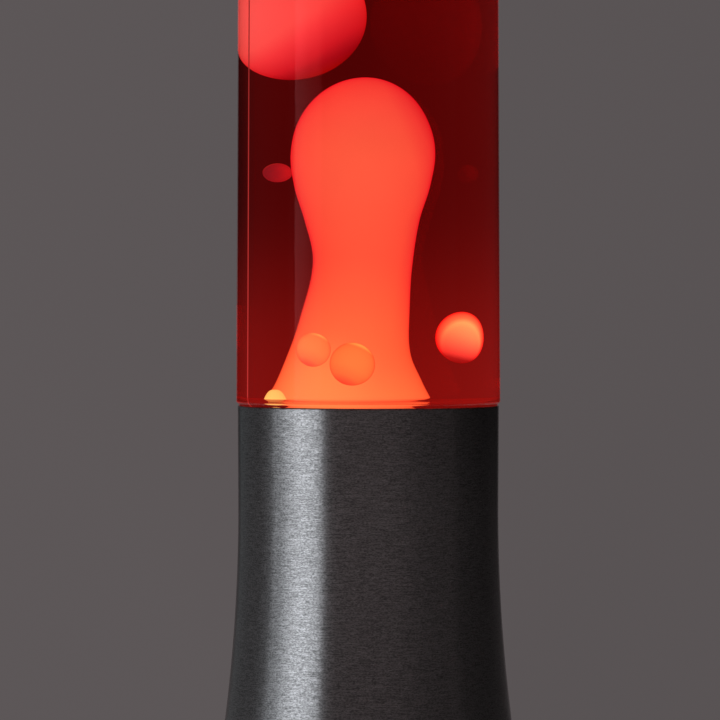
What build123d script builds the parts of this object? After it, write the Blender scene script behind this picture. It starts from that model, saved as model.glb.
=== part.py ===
from build123d import *
import os
from math import cos, radians, sin, sqrt

# A motion lamp: a metal base with a bulb inside, a sealed glass bottle of clear liquid and wax that
# stands on the base, and a metal cap on the bottle. Millimetres, +Z up, the origin in the middle of
# the surface it stands on. The mains cord would leave at the back, +Y.

# ---- driving dimensions ----
foot_radius = 55.0            # the widest place of the base, at its foot
waist_radius = 39.35          # the narrowest place of the base
waist_height = 128.5
rim_height = 160.0
rim_radius = 39.5
sheet = 1.0                   # sheet metal of the base and the cap
feet_height = 3.0
plate_thickness = 1.2
top_height = 400.0

glass_radius = 40.0           # outside of the bottle at the rim's height
glass_taper = 0.0049          # how much of its radius the bottle loses per millimetre of height
glass_wall = 3.0
bottle_bottom = 157.1
bottle_floor = 160.6          # inside of the bottle's bottom
shoulder_height = 350.9
neck_radius = 20.0
neck_bore = 16.5
neck_top = 373.2
liquid_level = 338.0
liquid_gap = 0.1              # between the liquid and what stays still in it
wax_gap = 0.3                 # between the liquid and each loose piece of wax

bridge_top = 34.5
holder_radius = 13.5
bulb_tip = 66.0
bulb_radius = 19.5
bulb_top = 134.0
thread_pitch = 2.82

plate_bottom = feet_height
plate_top = plate_bottom + plate_thickness
flange_top = plate_top + sheet
screw_head_bottom = 0.8
slot_depth = 1.2

os.makedirs("parts", exist_ok=True)


# ---- shapes that repeat ----
def upright(x=0.0, y=0.0, z=0.0):
    """The vertical plane through a point, drawn with X to the right and Z up."""
    return Plane((x, y, z), x_dir=(1, 0, 0), z_dir=(0, -1, 0))


def turned(outline, radii=0.0, mode=Mode.ADD):
    """Turn a closed outline of (radius, height) points about the lamp's axis."""
    with BuildSketch(Plane.XZ) as profile:
        with BuildLine():
            FilletPolyline(*outline, radius=radii, close=True)
        make_face()
    revolve(profile.sketch, axis=Axis.Z, mode=mode)


def tube(x, y, bottom, top, radius, bore=0.0, mode=Mode.ADD):
    """A vertical tube or rod."""
    with BuildSketch(Plane.XY.offset(bottom)) as ring:
        with Locations((x, y)):
            Circle(radius)
            if bore > 0:
                Circle(bore, mode=Mode.SUBTRACT)
    extrude(ring.sketch, amount=top - bottom, mode=mode)


def nut(x, y, bottom, top, across_flats, bore):
    """A plain hexagon nut."""
    with BuildSketch(Plane.XY.offset(bottom)) as hexagon:
        with Locations((x, y)):
            RegularPolygon(across_flats / 2, 6, major_radius=False)
            Circle(bore, mode=Mode.SUBTRACT)
    extrude(hexagon.sketch, amount=top - bottom)


def cross_screw(x, y, top, shank, head, slot):
    """A screw from below: its shank, its low head under the plate and the cross cut into it."""
    slot_width = 0.25 * slot
    tube(x, y, plate_bottom, top, shank)
    tube(x, y, screw_head_bottom, plate_bottom, head)
    for turn in (0, 90):
        with BuildSketch(Plane.XY.offset(screw_head_bottom)) as cross:
            with Locations((x, y)):
                Rectangle(slot, slot_width, rotation=turn)
        extrude(cross.sketch, amount=slot_depth, mode=Mode.SUBTRACT)


def round_of(count, radius, first_angle):
    """Places evenly spaced on a circle about the lamp's axis."""
    angles = [radians(first_angle + 360 * i / count) for i in range(count)]
    return [(radius * cos(a), radius * sin(a)) for a in angles]


def ellipsoid(x, y, z, radius, half_height, gap=0.0, mode=Mode.ADD):
    """A drop of wax: an ellipse turned about its own upright axis."""
    with BuildSketch(upright(x, y, z)) as half:
        with BuildLine():
            EllipticalCenterArc((0, 0), radius + gap, half_height + gap, -90, arc_size=180)
            Line((0, half_height + gap), (0, -half_height - gap))
        make_face()
    revolve(half.sketch, axis=Axis((x, y, z), (0, 0, 1)), mode=mode)


# ---- the base ----
flare_drop = waist_height - plate_top
flare_growth = foot_radius - waist_radius
flare_radius = (flare_drop**2 + flare_growth**2) / (2 * flare_growth)
flare_centre = waist_radius + flare_radius
flange_radius = 46.0


def wall_radius(height, depth=0.0):
    """Radius of the base's wall below its waist, this deep under its outer face."""
    below = waist_height - height
    return flare_centre - sqrt((flare_radius + depth) ** 2 - below**2)


def rim_line(height, depth=0.0):
    """Radius of the base's wall above its waist."""
    part_way = (height - waist_height) / (rim_height - waist_height)
    return waist_radius + (rim_radius - waist_radius) * part_way - depth


vent_count = 12
screw_circle = 49.0
screw_places = round_of(3, screw_circle, 30)
feet_circle = 42.0
feet_places = round_of(4, feet_circle, 45)
m3_clearance = 1.6
m4_clearance = 2.1
bridge_foot = 35.0            # distance of the bridge's screws from the axis
foot_stem_hole = 2.1          # the holes for the rubber feet's stems

gland_height = 20.0
gland_wall = wall_radius(gland_height)
gland_slope = (waist_height - gland_height) / sqrt(flare_radius**2 - (waist_height - gland_height) ** 2)
gland_plane = Plane((0, gland_wall, gland_height), x_dir=(1, 0, 0), z_dir=(0, 1, gland_slope))
gland_hole = 5.0
gland_body = 4.9
gland_bore = 3.3


def along_gland(start, end, radius, bore=0.0, mode=Mode.ADD):
    """A disc or tube about the cord inlet's axis, measured outwards from the wall's outer face."""
    with BuildSketch(gland_plane.offset(start)) as ring:
        Circle(radius)
        if bore > 0:
            Circle(bore, mode=Mode.SUBTRACT)
    extrude(ring.sketch, amount=end - start, mode=mode)


with BuildPart() as base_shell:
    middle = (waist_height + plate_top) / 2
    with BuildSketch(Plane.XZ):
        with BuildLine():
            Line((rim_radius - sheet, rim_height), (rim_radius, rim_height))
            Line((rim_radius, rim_height), (waist_radius, waist_height))
            ThreePointArc(
                (waist_radius, waist_height),
                (wall_radius(middle), middle),
                (foot_radius, plate_top),
            )
            Line((foot_radius, plate_top), (flange_radius, plate_top))
            Line((flange_radius, plate_top), (flange_radius, flange_top))
            Line((flange_radius, flange_top), (wall_radius(flange_top, sheet), flange_top))
            ThreePointArc(
                (wall_radius(flange_top, sheet), flange_top),
                (wall_radius(middle, sheet), middle),
                (waist_radius - sheet, waist_height),
            )
            Line((waist_radius - sheet, waist_height), (rim_radius - sheet, rim_height))
        make_face()
    revolve(axis=Axis.Z)
    fillet(base_shell.edges().group_by(Axis.Z)[-1], radius=0.45 * sheet)
    for x, y in screw_places:
        tube(x, y, plate_top, flange_top, m3_clearance, mode=Mode.SUBTRACT)
    along_gland(-3 * sheet, 3 * sheet, gland_hole, mode=Mode.SUBTRACT)
base_shell.part.label = "base_shell"
export_step(base_shell.part, "parts/base_shell.step")

seat_bore = 28.0
seat_thickness = 1.2
seat_skirt_bottom = 149.0
with BuildPart() as seat_ring:
    outer_top = rim_line(bottle_bottom, sheet)
    outer_bottom = rim_line(seat_skirt_bottom, sheet)
    turned(
        [
            (seat_bore, bottle_bottom),
            (seat_bore, bottle_bottom - seat_thickness),
            (outer_top - seat_thickness, bottle_bottom - seat_thickness),
            (outer_bottom - seat_thickness, seat_skirt_bottom),
            (outer_bottom, seat_skirt_bottom),
            (outer_top, bottle_bottom),
        ],
        [0, 0, 0.6, 0, 0, 1.5],
    )
seat_ring.part.label = "seat_ring"
export_step(seat_ring.part, "parts/seat_ring.step")

vent_circle = 19.0
vent_length = 10.0
vent_width = 3.0
plate_radius = 52.0
with BuildPart() as base_plate:
    tube(0, 0, plate_bottom, plate_top, plate_radius)
    with BuildSketch(Plane.XY.offset(plate_bottom)):
        with PolarLocations(vent_circle, vent_count):
            SlotOverall(vent_length, vent_width)
        with Locations(*screw_places):
            Circle(m3_clearance)
        with Locations(*feet_places):
            Circle(foot_stem_hole)
        with Locations((bridge_foot, 0), (-bridge_foot, 0)):
            Circle(m4_clearance)
    extrude(amount=plate_thickness, mode=Mode.SUBTRACT)
base_plate.part.label = "base_plate"
export_step(base_plate.part, "parts/base_plate.step")

pad_radius = 6.0
stem_radius = 2.0
barb_radius = 2.8
barb_tip = 1.2
stem_top = plate_top + 2.6
with BuildPart() as rubber_feet:
    for x, y in feet_places:
        with BuildSketch(upright(x, y)) as foot_profile:
            with BuildLine():
                FilletPolyline(
                    (0, 0),
                    (0.9 * pad_radius, 0),
                    (pad_radius, plate_bottom),
                    (stem_radius, plate_bottom),
                    (stem_radius, plate_top),
                    (barb_radius, plate_top),
                    (barb_tip, stem_top),
                    (0, stem_top),
                    radius=[0, 0.6, 0, 0, 0, 0.2, 0.3, 0],
                    close=True,
                )
            make_face()
        revolve(foot_profile.sketch, axis=Axis((x, y, 0), (0, 0, 1)))
rubber_feet.part.label = "rubber_feet"
export_step(rubber_feet.part, "parts/rubber_feet.step")

m3_shank = 1.45
m3_nut = 2.4
m3_nut_width = 5.5
with BuildPart() as plate_screws:
    for x, y in screw_places:
        cross_screw(x, y, flange_top + m3_nut + 1.2, m3_shank, 2.8, 3.0)
plate_screws.part.label = "plate_screws"
export_step(plate_screws.part, "parts/plate_screws.step")

with BuildPart() as plate_nuts:
    for x, y in screw_places:
        nut(x, y, flange_top, flange_top + m3_nut, m3_nut_width, m3_shank + 0.05)
plate_nuts.part.label = "plate_nuts"
export_step(plate_nuts.part, "parts/plate_nuts.step")

flange_face = 2.05            # heights of the grommet's steps along the inlet's axis
flange_back = 0.05
groove_end = -1.5
lip_end = -3.1
sleeve_end = -6.5
with BuildPart() as cord_grommet:
    along_gland(flange_back, flange_face, 7.0, gland_bore)
    along_gland(groove_end, flange_back, gland_body, gland_bore)
    along_gland(lip_end, groove_end, 6.5, gland_bore)
    along_gland(sleeve_end, lip_end, gland_body, gland_bore)
    outer_face = cord_grommet.faces().sort_by(Axis(gland_plane.origin, gland_plane.z_dir))[-1]
    fillet(outer_face.outer_wire().edges(), radius=0.8)
cord_grommet.part.label = "cord_grommet"
export_step(cord_grommet.part, "parts/cord_grommet.step")

# ---- the bridge and the lampholder ----
strip = 1.5
bridge_width = 20.0
bridge_half = 29.5
foot_end = 40.0
foot_top = plate_top + strip
nipple_radius = 5.0
with BuildPart() as holder_bridge:
    with BuildSketch(Plane.XZ):
        with BuildLine():
            FilletPolyline(
                (-foot_end, plate_top),
                (-bridge_half + strip, plate_top),
                (-bridge_half + strip, bridge_top - strip),
                (bridge_half - strip, bridge_top - strip),
                (bridge_half - strip, plate_top),
                (foot_end, plate_top),
                (foot_end, foot_top),
                (bridge_half, foot_top),
                (bridge_half, bridge_top),
                (-bridge_half, bridge_top),
                (-bridge_half, foot_top),
                (-foot_end, foot_top),
                radius=[0, 2.5, 1, 1, 2.5, 0, 0, 1, 2.5, 2.5, 1, 0],
                close=True,
            )
        make_face()
    extrude(amount=bridge_width / 2, both=True)
    tube(0, 0, bridge_top - strip, bridge_top, nipple_radius + 0.1, mode=Mode.SUBTRACT)
    for side in (-1, 1):
        tube(side * bridge_foot, 0, plate_top, foot_top, m4_clearance, mode=Mode.SUBTRACT)
holder_bridge.part.label = "holder_bridge"
export_step(holder_bridge.part, "parts/holder_bridge.step")

m4_shank = 1.95
m4_nut = 3.2
m4_nut_width = 7.0
with BuildPart() as bridge_screws:
    for side in (-1, 1):
        cross_screw(side * bridge_foot, 0, foot_top + m4_nut + 1.2, m4_shank, 3.6, 4.0)
bridge_screws.part.label = "bridge_screws"
export_step(bridge_screws.part, "parts/bridge_screws.step")

with BuildPart() as bridge_nuts:
    for side in (-1, 1):
        nut(side * bridge_foot, 0, foot_top, foot_top + m4_nut, m4_nut_width, m4_shank + 0.05)
bridge_nuts.part.label = "bridge_nuts"
export_step(bridge_nuts.part, "parts/bridge_nuts.step")

nipple_bore = 3.5
nipple_bottom = bridge_top - 6.0
washer_thickness = 0.8
nut_height = 3.5
nut_width = 14.0
thread_gap = 0.05             # round a threaded rod that carries no thread form
holder_bottom = bridge_top + washer_thickness + nut_height + 0.2
holder_base_top = holder_bottom + 6.0
with BuildPart() as nipple_tube:
    tube(0, 0, nipple_bottom, holder_base_top, nipple_radius, nipple_bore)
nipple_tube.part.label = "nipple_tube"
export_step(nipple_tube.part, "parts/nipple_tube.step")

with BuildPart() as nipple_nuts:
    lower_seat = bridge_top - strip
    upper_seat = bridge_top + washer_thickness
    nut(0, 0, lower_seat - nut_height, lower_seat, nut_width, nipple_radius + thread_gap)
    nut(0, 0, upper_seat, upper_seat + nut_height, nut_width, nipple_radius + thread_gap)
nipple_nuts.part.label = "nipple_nuts"
export_step(nipple_nuts.part, "parts/nipple_nuts.step")

with BuildPart() as nipple_washer:
    tube(0, 0, bridge_top, bridge_top + washer_thickness, 9.0, nipple_radius + 0.1)
nipple_washer.part.label = "nipple_washer"
export_step(nipple_washer.part, "parts/nipple_washer.step")

holder_joint = 60.0           # where the lampholder's barrel screws on to its base
insert_top = 67.0
insert_bottom = 56.0
holder_top = 88.0
holder_wall = 2.0
with BuildPart() as holder_cap:
    turned(
        [
            (nipple_radius + thread_gap, holder_bottom),
            (holder_radius, holder_bottom),
            (holder_radius, holder_joint),
            (holder_radius - holder_wall, holder_joint),
            (holder_radius - holder_wall, holder_bottom + holder_wall),
            (nipple_radius + 2.5, holder_bottom + holder_wall),
            (nipple_radius + 2.5, holder_base_top),
            (nipple_radius + thread_gap, holder_base_top),
        ],
        [0, 3, 0, 0, 1, 0.5, 0.5, 0],
    )
holder_cap.part.label = "holder_cap"
export_step(holder_cap.part, "parts/holder_cap.step")

recess_radius = 5.4
recess_bottom = 62.0
insert_radius = holder_radius - holder_wall - 0.3
with BuildPart() as holder_insert:
    turned(
        [
            (0, insert_bottom),
            (insert_radius, insert_bottom),
            (insert_radius, insert_top),
            (recess_radius, insert_top),
            (recess_radius, recess_bottom),
            (0, recess_bottom),
        ]
    )
holder_insert.part.label = "holder_insert"
export_step(holder_insert.part, "parts/holder_insert.step")

shell_radius = 7.9
shell_bore = 7.2
mouth_radius = 9.2
mouth_bottom = 84.0
barrel_bore = holder_radius - holder_wall - 0.1
with BuildPart() as holder_barrel:
    turned(
        [
            (barrel_bore, holder_joint),
            (holder_radius, holder_joint),
            (holder_radius, holder_top),
            (mouth_radius, holder_top),
            (mouth_radius, mouth_bottom),
            (shell_radius + 0.1, mouth_bottom),
            (shell_radius + 0.1, insert_top),
            (barrel_bore, insert_top),
        ],
        [0, 0.4, 1, 0.4, 0, 0, 0, 0],
    )
holder_barrel.part.label = "holder_barrel"
export_step(holder_barrel.part, "parts/holder_barrel.step")

with BuildPart() as screw_shell:
    tube(0, 0, insert_top, mouth_bottom, shell_radius, shell_bore)
screw_shell.part.label = "screw_shell"
export_step(screw_shell.part, "parts/screw_shell.step")

leaf = 0.5                    # thickness of the contact's springy strip
leaf_reach = 4.0
leaf_end = 2.0
with BuildPart() as centre_contact:
    leaf_top = bulb_tip - 0.1
    with BuildSketch(Plane.XZ):
        with BuildLine():
            FilletPolyline(
                (-leaf_reach, recess_bottom),
                (leaf_reach, recess_bottom),
                (leaf_reach, leaf_top),
                (-leaf_end, leaf_top),
                (-leaf_end, leaf_top - leaf),
                (leaf_reach - leaf, leaf_top - leaf),
                (leaf_reach - leaf, recess_bottom + leaf),
                (-leaf_reach, recess_bottom + leaf),
                radius=[0, 1.2, 1.2, 0, 0, 0.7, 0.7, 0],
                close=True,
            )
        make_face()
    extrude(amount=2, both=True)
centre_contact.part.label = "centre_contact"
export_step(centre_contact.part, "parts/centre_contact.step")

# ---- the mains terminals ----
block_y = 30.0
block_length = 20.0
block_depth = 16.0
block_height = 12.0
wire_height = 9.2
pole_spread = 5.0
terminal_spread = 4.0         # each screw's distance from the middle of its pole
pole_radius = 2.2
pole_half = 7.0
with BuildPart() as terminal_block:
    with Locations((0, block_y, plate_top)):
        Box(
            block_length,
            block_depth,
            block_height,
            align=(Align.CENTER, Align.CENTER, Align.MIN),
        )
    fillet(terminal_block.edges().filter_by(Axis.Z), radius=1.2)
    with BuildSketch(upright(0, block_y, wire_height)):
        with Locations((-pole_spread, 0), (pole_spread, 0)):
            Circle(pole_radius + 0.05)
    extrude(amount=block_depth, both=True, mode=Mode.SUBTRACT)
    for x in (-pole_spread, pole_spread):
        for y in (block_y - terminal_spread, block_y + terminal_spread):
            tube(x, y, wire_height, plate_top + block_height, 1.9, mode=Mode.SUBTRACT)
terminal_block.part.label = "terminal_block"
export_step(terminal_block.part, "parts/terminal_block.step")

insert_bore = 1.3
with BuildPart() as terminal_inserts:
    for x in (-pole_spread, pole_spread):
        with BuildSketch(upright(x, block_y, wire_height)) as pole:
            Circle(pole_radius)
            Circle(insert_bore, mode=Mode.SUBTRACT)
        extrude(pole.sketch, amount=pole_half, both=True)
terminal_inserts.part.label = "terminal_inserts"
export_step(terminal_inserts.part, "parts/terminal_inserts.step")

with BuildPart() as terminal_screws:
    screw_bottom = wire_height + pole_radius
    screw_top = screw_bottom + 3.0
    for x in (-pole_spread, pole_spread):
        for y in (block_y - terminal_spread, block_y + terminal_spread):
            tube(x, y, screw_bottom, screw_top, 1.6)
            with BuildSketch(Plane.XY.offset(screw_top)) as slot:
                with Locations((x, y)):
                    Rectangle(3.4, 0.6)
            extrude(slot.sketch, amount=-1, mode=Mode.SUBTRACT)
terminal_screws.part.label = "terminal_screws"
export_step(terminal_screws.part, "parts/terminal_screws.step")

lead_radius = 0.9
lead_spread = 1.4             # inside the holder's threaded tube
for lead_name, side in (("lead_live", 1), ("lead_neutral", -1)):
    with BuildPart() as lead:
        with BuildLine() as route:
            FilletPolyline(
                (side * pole_spread, block_y - 3, wire_height),
                (side * pole_spread, 12, wire_height),
                (side * lead_spread, 0, 15),
                (side * lead_spread, 0, insert_bottom),
                radius=8,
            )
        with BuildSketch(Plane(route.line @ 0, z_dir=route.line % 0)):
            Circle(lead_radius)
        sweep()
    lead.part.label = lead_name
    export_step(lead.part, f"parts/{lead_name}.step")

# ---- the bulb: a 39 mm reflector bulb with a 14 mm screw cap ----
contact_radius = 2.4
contact_top = bulb_tip + 1.6
with BuildPart() as bulb_contact:
    turned(
        [(0, bulb_tip), (contact_radius, bulb_tip), (contact_radius, contact_top), (0, contact_top)],
        [0, 1.2, 0, 0],
    )
bulb_contact.part.label = "bulb_contact"
export_step(bulb_contact.part, "parts/bulb_contact.step")

thread_bottom = bulb_tip + 4.5
with BuildPart() as bulb_insulator:
    turned(
        [
            (0, contact_top),
            (contact_radius + 0.8, contact_top),
            (6.0, thread_bottom),
            (0, thread_bottom),
        ],
        [0, 0.8, 0, 0],
    )
bulb_insulator.part.label = "bulb_insulator"
export_step(bulb_insulator.part, "parts/bulb_insulator.step")

thread_root = 6.45
thread_crest = 6.95
thread_turns = 4
cap_bore = 6.15
skirt_radius = 8.5
skirt_bore = skirt_radius - 0.35
skirt_bottom = 84.8
skirt_top = 90.0
with BuildPart() as bulb_screw_cap:
    ridges = [(thread_root, thread_bottom)]
    for turn in range(thread_turns):
        ridge = thread_bottom + 1.1 + turn * thread_pitch
        ridges.append((thread_root, ridge))
        ridges.append((thread_crest, ridge + 0.7))
        ridges.append((thread_crest, ridge + 1.0))
        ridges.append((thread_root, ridge + 1.7))
    turned(
        ridges
        + [
            (thread_root, skirt_bottom - 1.2),
            (skirt_radius, skirt_bottom),
            (skirt_radius, skirt_top),
            (skirt_bore, skirt_top),
            (skirt_bore, skirt_bottom + 0.3),
            (cap_bore, skirt_bottom - 0.8),
            (cap_bore, thread_bottom),
        ]
    )
bulb_screw_cap.part.label = "bulb_screw_cap"
export_step(bulb_screw_cap.part, "parts/bulb_screw_cap.step")

bulb_neck = 7.9
bulb_neck_bottom = 86.0
bulb_wall = 0.8
flare_bottom = 96.0
flare_top = 117.0
shoulder_bottom = 122.0       # height at which the bulb's side begins to round over
front_edge = (16.2, 130.0)    # where the rounded shoulder meets the shallow front


def bulb_solid(depth, mode):
    """The bulb's glass as a filled solid, this deep under its outer face."""
    edge_radius = front_edge[0] - 0.6 * depth
    edge_height = front_edge[1] - 0.8 * depth
    crown = bulb_top - depth - edge_height
    front_radius = (edge_radius**2 + crown**2) / (2 * crown)
    half_way = edge_radius / 2
    half_drop = front_radius - sqrt(front_radius**2 - half_way**2)
    with BuildSketch(Plane.XZ) as profile:
        with BuildLine():
            side = FilletPolyline(
                (bulb_neck - depth, bulb_neck_bottom - depth),
                (bulb_neck - depth, flare_bottom),
                (bulb_radius - depth, flare_top),
                (bulb_radius - depth, shoulder_bottom),
                radius=[14, 7],
            )
            shoulder = TangentArc(side @ 1, (edge_radius, edge_height), tangent=side % 1)
            front = ThreePointArc(
                shoulder @ 1,
                (half_way, bulb_top - depth - half_drop),
                (0, bulb_top - depth),
            )
            Line(front @ 1, (0, bulb_neck_bottom - depth))
            Line((0, bulb_neck_bottom - depth), side @ 0)
        make_face()
    revolve(profile.sketch, axis=Axis.Z, mode=mode)


with BuildPart() as bulb_envelope:
    bulb_solid(0, Mode.ADD)
    bulb_solid(bulb_wall, Mode.SUBTRACT)
bulb_envelope.part.label = "bulb_envelope"
export_step(bulb_envelope.part, "parts/bulb_envelope.step")

stem_outside = bulb_neck - bulb_wall
stem_rod = 2.2
stem_tip = bulb_neck_bottom + 20.0
with BuildPart() as bulb_stem:
    turned(
        [
            (0, bulb_neck_bottom),
            (stem_outside, bulb_neck_bottom),
            (stem_outside, bulb_neck_bottom + 1.5),
            (stem_rod, bulb_neck_bottom + 6),
            (stem_rod, stem_tip),
            (0, stem_tip),
        ],
        [0, 0, 0.6, 4, 1.2, 0],
    )
bulb_stem.part.label = "bulb_stem"
export_step(bulb_stem.part, "parts/bulb_stem.step")

filament_height = 119.0
filament_half = 6.0
with BuildPart() as bulb_wires:
    for side in (-1, 1):
        with BuildLine() as support:
            FilletPolyline(
                (side * stem_rod / 2, 0, stem_tip),
                (side * stem_rod / 2, 0, stem_tip + 4),
                (side * filament_half, 0, filament_height - 5),
                (side * filament_half, 0, filament_height),
                radius=2.4,
            )
        with BuildSketch(Plane(support.line @ 0, z_dir=support.line % 0)):
            Circle(0.35)
        sweep()
bulb_wires.part.label = "bulb_wires"
export_step(bulb_wires.part, "parts/bulb_wires.step")

coil_radius = 0.7
with BuildPart() as bulb_filament:
    with BuildLine() as winding:
        Helix(
            pitch=1.0,
            height=2 * filament_half - 1.5,
            radius=coil_radius,
            center=(-filament_half + 0.75, 0, filament_height),
            direction=(1, 0, 0),
        )
    with BuildSketch(Plane(winding.line @ 0, z_dir=winding.line % 0)):
        Circle(0.18)
    sweep(is_frenet=True)
bulb_filament.part.label = "bulb_filament"
export_step(bulb_filament.part, "parts/bulb_filament.step")


# ---- the bottle ----
def glass_line(height, depth=0.0):
    """Radius of the bottle's side, this deep under its outer face."""
    return glass_radius - glass_taper * (height - rim_height) - depth


punt_radius = 28.5
punt_depth = 1.5
bottom_round = 8.0
inside_round = 5.0
finish_bottom = 363.5         # the thickened mouth of the bottle
finish_radius = 21.1
with BuildPart() as bottle_glass:
    turned(
        [
            (0, bottle_bottom + punt_depth),
            (punt_radius - 2.0, bottle_bottom + punt_depth),
            (punt_radius, bottle_bottom),
            (glass_line(bottle_bottom), bottle_bottom),
            (glass_line(shoulder_height), shoulder_height),
            (neck_radius, shoulder_height),
            (neck_radius, finish_bottom),
            (finish_radius, finish_bottom),
            (finish_radius, neck_top),
            (neck_bore, neck_top),
            (neck_bore, shoulder_height - glass_wall),
            (glass_line(shoulder_height, glass_wall), shoulder_height - glass_wall),
            (glass_line(bottle_floor, glass_wall), bottle_floor),
            (0, bottle_floor),
        ],
        [0, 1, 1, bottom_round, bottom_round, 3, 0.8, 0.4, 1.5, 1, 2.5, inside_round, inside_round, 0],
    )
bottle_glass.part.label = "bottle_glass"
export_step(bottle_glass.part, "parts/bottle_glass.step")

with BuildPart() as closure_seal:
    tube(0, 0, neck_top, neck_top + 1.0, finish_radius - 0.4)
closure_seal.part.label = "closure_seal"
export_step(closure_seal.part, "parts/closure_seal.step")

closure_radius = 22.0
closure_bottom = 361.5
closure_top = neck_top + 2.0
with BuildPart() as bottle_closure:
    turned(
        [
            (0, neck_top + 1.0),
            (finish_radius, neck_top + 1.0),
            (finish_radius, finish_bottom),
            (neck_radius + 0.3, finish_bottom - 0.9),
            (neck_radius + 0.3, closure_bottom),
            (closure_radius, closure_bottom),
            (closure_radius, closure_top),
            (0, closure_top),
        ],
        [0, 0.3, 0, 0, 0.4, 0.6, 1.6, 0],
    )
bottle_closure.part.label = "bottle_closure"
export_step(bottle_closure.part, "parts/bottle_closure.step")

# ---- the wax ----
# The standing column: centre and radius of its section at each height, up to its round head.
column_sections = [
    (bottle_floor, -4.4, 18.4),
    (167.0, -4.3, 16.3),
    (175.0, -4.3, 13.9),
    (187.0, -3.0, 12.1),
    (203.0, -1.2, 11.1),
    (216.0, -1.4, 12.8),
    (226.0, -1.6, 15.1),
]
head_height = 235.0           # the widest place of the head, the middle of its half ellipsoid
head_rise = 23.6
head_radius = 16.15
head_x = -1.2


def column(gap=0.0, mode=Mode.ADD):
    """The column of wax, made this much thicker all round."""
    slices = []
    for height, x, radius in column_sections:
        slices.append((height, x, radius))
    for angle in (0, 15, 30, 45, 60, 75, 86):
        height = head_height + head_rise * sin(radians(angle))
        slices.append((height, head_x, head_radius * cos(radians(angle))))
    rings = []
    for height, x, radius in slices:
        with BuildSketch(Plane.XY.offset(height)) as ring:
            with Locations((x, 0)):
                Circle(radius + gap)
        rings.append(ring.sketch)
    loft(rings, mode=mode)


coil_x = column_sections[0][1]
coil_turn = 11.0
coil_wire = 0.7
coil_pocket = 1.2             # half the width of the groove in the wax round the coil
pocket_top = 169.5
with BuildPart() as wax_column:
    column()
    groove_radii = (coil_turn + coil_pocket, coil_turn - coil_pocket)
    tube(coil_x, 0, bottle_floor, pocket_top, *groove_radii, mode=Mode.SUBTRACT)
wax_column.part.label = "wax_column"
export_step(wax_column.part, "parts/wax_column.step")

with BuildPart() as heat_coil:
    with BuildLine() as spring:
        Helix(
            pitch=1.8,
            height=4.5,
            radius=coil_turn,
            center=(coil_x, 0, bottle_floor + 1.0),
        )
    with BuildSketch(Plane(spring.line @ 0, z_dir=spring.line % 0)):
        Circle(coil_wire)
    sweep(is_frenet=True)
heat_coil.part.label = "heat_coil"
export_step(heat_coil.part, "parts/heat_coil.step")

# Loose wax: centre, radius and half height of each drop.
loose_wax = {
    "upper_blob": (-17.3, 0.0, 277.2, 17.1, 19.5),
    "side_blob": (24.5, -15.0, 180.6, 7.4, 7.7),
    "front_bead_small": (-14.7, -22.0, 177.1, 4.8, 5.0),
    "front_bead_large": (-4.4, -27.0, 172.9, 6.2, 6.3),
    "back_droplet": (-17.4, 15.0, 230.2, 2.7, 2.9),
}
for wax_name, place in loose_wax.items():
    with BuildPart() as wax:
        ellipsoid(*place)
    wax.part.label = wax_name
    export_step(wax.part, f"parts/{wax_name}.step")

drop_x = -24.3
drop_y = -14.0
drop_height = 4.5
drop_outline = [(0, 0), (2.9, 0), (4.1, 1.9), (3.0, drop_height), (0, drop_height)]
drop_rounds = [0, 0.8, 1.2, 1.2, 0]


def floor_drop_shape(gap=0.0, mode=Mode.ADD):
    """The flat drop that lies on the bottle's floor."""
    grown = [(x + gap if x > 0 else 0, y + gap if y > 0 else 0) for x, y in drop_outline]
    with BuildSketch(upright(drop_x, drop_y, bottle_floor)) as profile:
        with BuildLine():
            FilletPolyline(*grown, radius=drop_rounds, close=True)
        make_face()
    revolve(profile.sketch, axis=Axis((drop_x, drop_y, 0), (0, 0, 1)), mode=mode)


with BuildPart() as floor_drop:
    floor_drop_shape()
floor_drop.part.label = "floor_drop"
export_step(floor_drop.part, "parts/floor_drop.step")

with BuildPart() as liquid:
    inset = glass_wall + liquid_gap
    bottom = bottle_floor + liquid_gap
    turned(
        [
            (0, bottom),
            (glass_line(bottom, inset), bottom),
            (glass_line(liquid_level, inset), liquid_level),
            (0, liquid_level),
        ],
        [0, inside_round, 0, 0],
    )
    column(liquid_gap, mode=Mode.SUBTRACT)
    floor_drop_shape(liquid_gap, mode=Mode.SUBTRACT)
    for place in loose_wax.values():
        ellipsoid(*place, gap=wax_gap, mode=Mode.SUBTRACT)
liquid.part.label = "liquid"
export_step(liquid.part, "parts/liquid.step")

# ---- the cap ----
cap_bottom = 348.0
cap_radius = 39.0
cap_top_radius = 38.6
cap_round = 2.5
with BuildPart() as cap_shell:
    turned(
        [
            (0, top_height),
            (0, top_height - sheet),
            (cap_top_radius - sheet, top_height - sheet),
            (cap_radius - sheet, cap_bottom),
            (cap_radius, cap_bottom),
            (cap_top_radius, top_height),
        ],
        [0, 0, cap_round - sheet, 0.45 * sheet, 0.45 * sheet, cap_round],
    )
cap_shell.part.label = "cap_shell"
export_step(cap_shell.part, "parts/cap_shell.step")

hub_bore = closure_radius + 0.4
hub_radius = 24.0
hub_bottom = 358.0
lip_bore = 18.0
web_bottom = 364.0
web_top = 366.0
collar_skirt_top = 371.0
rib_count = 6
lip_top = closure_top + 1.8
collar_gap = 0.05             # between the collar and the cap's inner face
collar_skirt = 1.5
rib_height = 4.0
rib_thickness = 1.4
rib_root = 0.6                # how far a rib reaches into the hub and the skirt


def cap_inside(height):
    """Radius of the collar's outside at this height, just inside the cap's inner face."""
    part_way = (height - cap_bottom) / (top_height - cap_bottom)
    return cap_radius + (cap_top_radius - cap_radius) * part_way - sheet - collar_gap


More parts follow.
